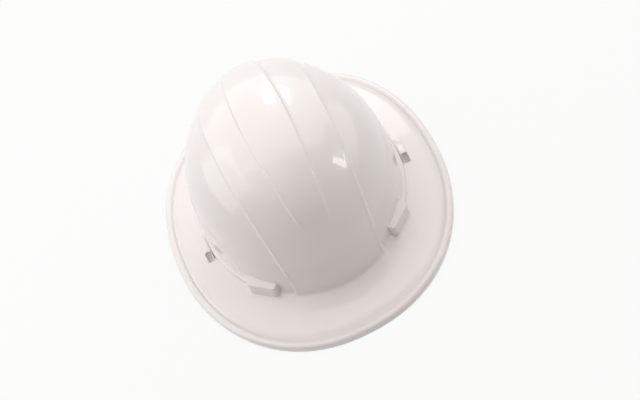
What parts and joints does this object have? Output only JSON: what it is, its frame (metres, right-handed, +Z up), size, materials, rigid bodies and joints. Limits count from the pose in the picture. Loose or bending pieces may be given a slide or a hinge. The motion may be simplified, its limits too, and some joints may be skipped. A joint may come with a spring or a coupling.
{
  "type": "full brim hard hat",
  "caption": "Safety helmet with a stepped dome, a brim all round, accessory slots at the sides and a webbing harness with a ratchet headband.",
  "frame": {"origin": "on the floor under the middle of the brim's outline, where the brim's edge rests", "axes": "+Z up, the wearer faces -Y, +X to the wearer's left"},
  "size_m": [0.28, 0.315, 0.1431],
  "materials": {
    "shell_plastic": "glossy moulded white",
    "harness_plastic": "satin moulded black",
    "band_plastic": "satin moulded grey-white",
    "webbing": "woven polyester webbing",
    "padding": "brushed cloth over foam",
    "knob_plastic": "satin moulded black",
    "steel": "zinc plated",
    "spring_plastic": "natural moulded acetal"
  },
  "bodies": {
    "root": {"shell": "shell_plastic", "front_left_strap_key": "harness_plastic", "front_right_strap_key": "harness_plastic", "rear_left_strap_key": "harness_plastic", "rear_right_strap_key": "harness_plastic", "lower_crown_strap": "webbing", "upper_crown_strap": "webbing", "crown_pad": "padding"},
    "headband": {"headband": "band_plastic", "brow_pad": "padding", "side_pins": "spring_plastic", "side_washers": "spring_plastic"},
    "nape_strap": {"left_keeper": "band_plastic", "right_keeper": "band_plastic", "ratchet_base": "knob_plastic", "ratchet_cover": "knob_plastic", "ratchet_screws": "steel", "nape_pad": "padding", "click_spring": "spring_plastic"},
    "left_rack": {"left_rack": "harness_plastic"},
    "right_rack": {"right_rack": "harness_plastic"},
    "knob": {"knob": "knob_plastic", "pinion": "spring_plastic", "knob_screw": "steel"}
  },
  "joints": [
    {"name": "headband_height", "type": "slide", "parent": "root", "child": "headband", "axis": [0, 0, 1], "range_m": [-0.003, 0.006]},
    {"name": "nape_swing", "type": "hinge", "parent": "headband", "child": "nape_strap", "pos_m": [0, 0.03, 0.022], "axis": [-1, 0, 0], "range_deg": [0, 30]},
    {"name": "knob_turn", "type": "hinge", "parent": "nape_strap", "child": "knob", "pos_m": [0, 0.1153, 0.022], "axis": [0, 1, 0], "range_deg": [-105.04, 105.04]},
    {"name": "left_rack_slide", "type": "hinge", "parent": "nape_strap", "child": "left_rack", "pos_m": [0, 0.03, 0.022], "axis": [0, 0, 1], "range_deg": [-8.5, 8.5]},
    {"name": "right_rack_slide", "type": "hinge", "parent": "nape_strap", "child": "right_rack", "pos_m": [0, 0.03, 0.022], "axis": [0, 0, 1], "range_deg": [-8.5, 8.5]}
  ],
  "couplings": [
    {"joint": "left_rack_slide", "follows": "knob_turn", "ratio": -0.078278},
    {"joint": "right_rack_slide", "follows": "knob_turn", "ratio": 0.078278}
  ]
}
